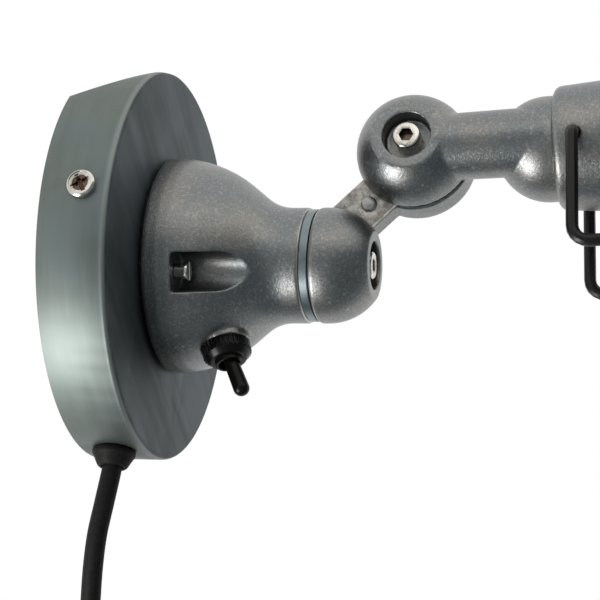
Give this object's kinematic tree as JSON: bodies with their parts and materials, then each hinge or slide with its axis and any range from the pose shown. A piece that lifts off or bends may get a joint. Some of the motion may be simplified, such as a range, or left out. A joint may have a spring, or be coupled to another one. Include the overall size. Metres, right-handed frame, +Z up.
{
  "type": "adjustable wall lamp",
  "caption": "Industrial wall lamp: round metal base, cast bell with toggle switch, swivel and tilt joint, lamp head with wire guard, black cord with plug.",
  "frame": {"origin": "on the axis of the round base, in the plane of the wall", "axes": "+X out of the wall along the base's axis, +Z up, +Y to the side away from the switch's lever"},
  "size_m": [0.307, 0.1255, 0.3589],
  "materials": {
    "cast_metal": "raw tumbled casting, satin",
    "drum_metal": "brushed and patinated",
    "ring_metal": "satin, blue-grey",
    "plate_metal": "mottled, worn",
    "bright_metal": "nickel plated",
    "plain_steel": "zinc plated",
    "black_plastic": "glossy",
    "black_rubber": "matt",
    "black_wire": "satin black enamel",
    "porcelain": "glazed",
    "brass": "plain",
    "reflector_metal": "spun, satin",
    "bulb_metal": "pressed",
    "frosted_glass": "frosted"
  },
  "bodies": {
    "base": {"wall_bracket": "plain_steel", "base_drum": "drum_metal", "rim_screws": "bright_metal", "cord_gland": "black_rubber", "terminal_block": "porcelain", "terminal_screws": "brass", "bell_mount": "cast_metal", "bell_screws": "bright_metal", "bell_nuts": "plain_steel", "switch_body": "black_plastic", "switch_nut": "black_plastic", "swivel_ring": "ring_metal", "stop_pin": "plain_steel", "cord": "black_rubber", "cord_coil": "black_rubber", "cord_tie": "black_rubber", "plug_body": "black_rubber", "plug_pins": "bright_metal"},
    "knuckle": {"swivel_knuckle": "cast_metal", "swivel_screw": "bright_metal", "swivel_washer": "plain_steel", "swivel_nut": "plain_steel", "link_plate": "plate_metal", "link_rivet": "plain_steel", "tilt_screw": "bright_metal", "tilt_washer": "plain_steel", "tilt_nut": "plain_steel"},
    "head": {"head_arm": "cast_metal", "lamp_collar": "cast_metal", "collar_screws": "plain_steel", "lampholder": "porcelain", "holder_contacts": "brass", "shade_ring": "black_plastic", "reflector": "reflector_metal", "bulb_cap": "bulb_metal", "bulb_glass": "frosted_glass"},
    "guard": {"guard_frame": "black_wire"},
    "lever": {"switch_lever": "black_plastic"}
  },
  "joints": [
    {"name": "arm_swivel", "type": "hinge", "parent": "base", "child": "knuckle", "pos_m": [0.07276, 0, 0], "axis": [1, 0, 0], "range_deg": [-165, 165]},
    {"name": "head_tilt", "type": "hinge", "parent": "knuckle", "child": "head", "pos_m": [0.09716, 0.01283, 0.03524], "axis": [0, -0.9397, 0.342], "range_deg": [-60, 90]},
    {"name": "switch_toggle", "type": "hinge", "parent": "base", "child": "lever", "pos_m": [0.04409, -0.01482, -0.0262], "axis": [0, -0.8704, 0.4924], "range_deg": [-18, 0]},
    {"name": "guard_swing", "type": "hinge", "parent": "head", "child": "guard", "pos_m": [0.14883, 0.01362, 0.03304], "axis": [0, -0.9397, 0.342], "range_deg": [-60, 0]}
  ]
}
